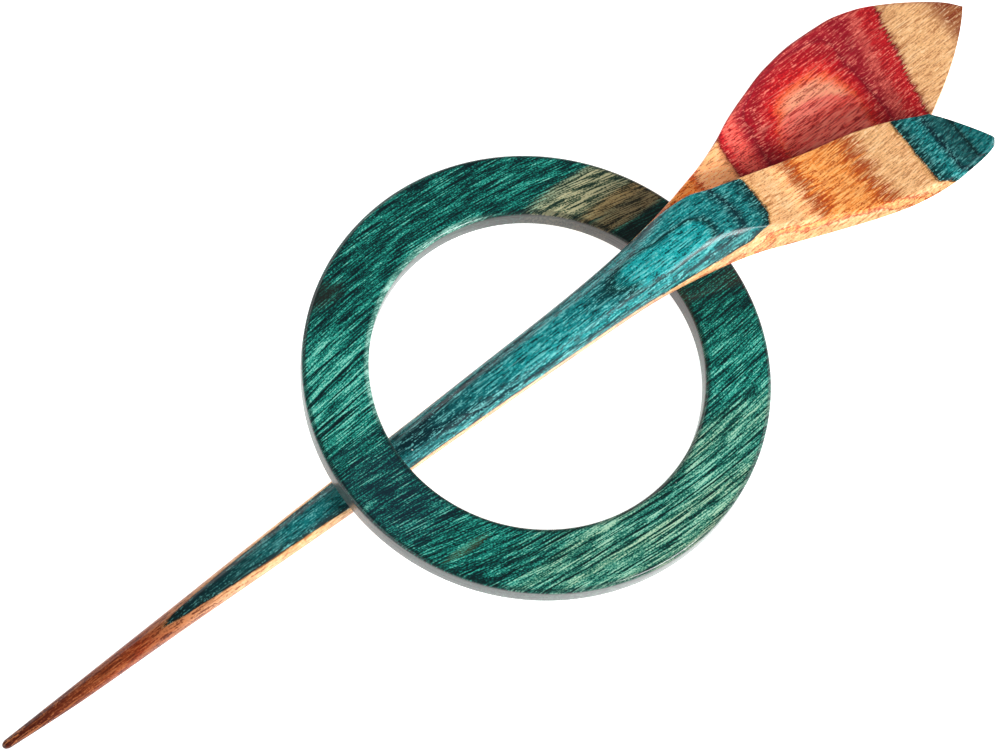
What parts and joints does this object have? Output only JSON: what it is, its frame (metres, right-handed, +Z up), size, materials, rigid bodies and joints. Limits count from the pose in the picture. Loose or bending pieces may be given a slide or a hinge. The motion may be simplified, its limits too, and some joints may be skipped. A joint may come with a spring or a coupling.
{
  "type": "shawl pin",
  "caption": "Shawl pin: a flat wooden ring and a carved, tapered wooden stick with a tulip-shaped head, which passes through the ring to hold a knitted wrap closed.",
  "frame": {"origin": "centre of the bounding box in X and Y, on the surface that the pin lies on", "axes": "+X runs along the ground from the stick's point to its head, +Z is up, and +Y is to the left of the stick as seen from its point"},
  "size_m": [0.1546, 0.06, 0.016],
  "materials": {
    "ring_wood": "gloss",
    "stick_wood": "gloss"
  },
  "bodies": {
    "ring": {"ring": "ring_wood"},
    "stick": {"stick": "stick_wood"}
  },
  "joints": [
    {"name": "stick_slide", "type": "slide", "parent": "ring", "child": "stick", "axis": [0.9989, 0, 0.0459], "range_m": [0, 0.115]}
  ]
}
